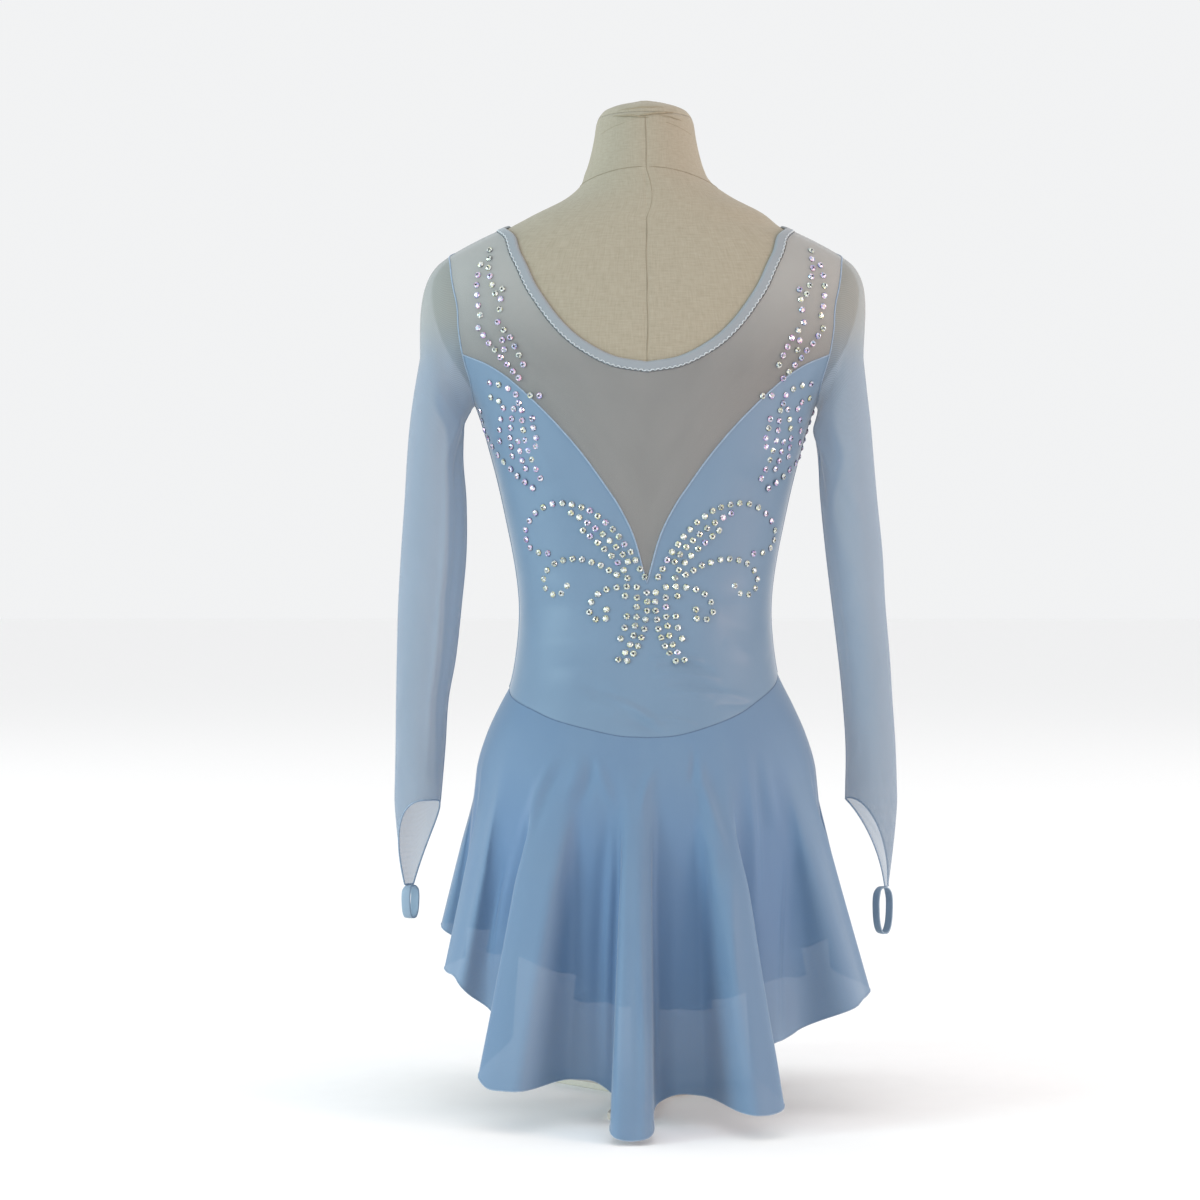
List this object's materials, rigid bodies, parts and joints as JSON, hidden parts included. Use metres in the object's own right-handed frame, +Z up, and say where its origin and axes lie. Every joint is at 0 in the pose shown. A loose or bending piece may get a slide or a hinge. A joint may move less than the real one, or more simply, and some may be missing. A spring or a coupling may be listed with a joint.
{
  "type": "figure skating dress on a limbless table-top dress form with a three-footed stand",
  "caption": "Long-sleeved figure skating dress with a deep V back of sheer mesh, finger loops and a flared high-low skirt, on a limbless linen dress form.",
  "frame": {"origin": "on the surface that the stand rests on, at the pole's axis, in the flat underside of the base", "axes": "+Z up, -Y towards the wearer's front, +Y towards the wearer's back with the deep V, +X towards the wearer's left"},
  "size_m": [0.479, 0.4103, 0.9433],
  "materials": {
    "lycra_bodice": "satin stretch knit, light blue",
    "sheer_mesh": "sheer power mesh, grey blue",
    "binding": "matt elastic binding, light blue",
    "sleeve_mesh": "sheer stretch mesh, light blue",
    "finger_loop": "elastic covered in mesh, light blue",
    "skirt_cloth": "soft semi-sheer stretch cloth, light blue",
    "form_linen": "matt natural linen cover",
    "stand_paint": "satin cream paint"
  },
  "bodies": {
    "root": {"back_mesh": "sheer_mesh", "front_mesh": "sheer_mesh", "back_body": "lycra_bodice", "front_body": "lycra_bodice", "neck_binding": "binding", "left_sleeve": "sleeve_mesh", "left_finger_loop": "finger_loop", "right_sleeve": "sleeve_mesh", "right_finger_loop": "finger_loop", "skirt": "skirt_cloth", "form_body": "form_linen", "form_neck_cap": "form_linen", "form_pole": "stand_paint", "form_base": "stand_paint"}
  },
  "joints": []
}
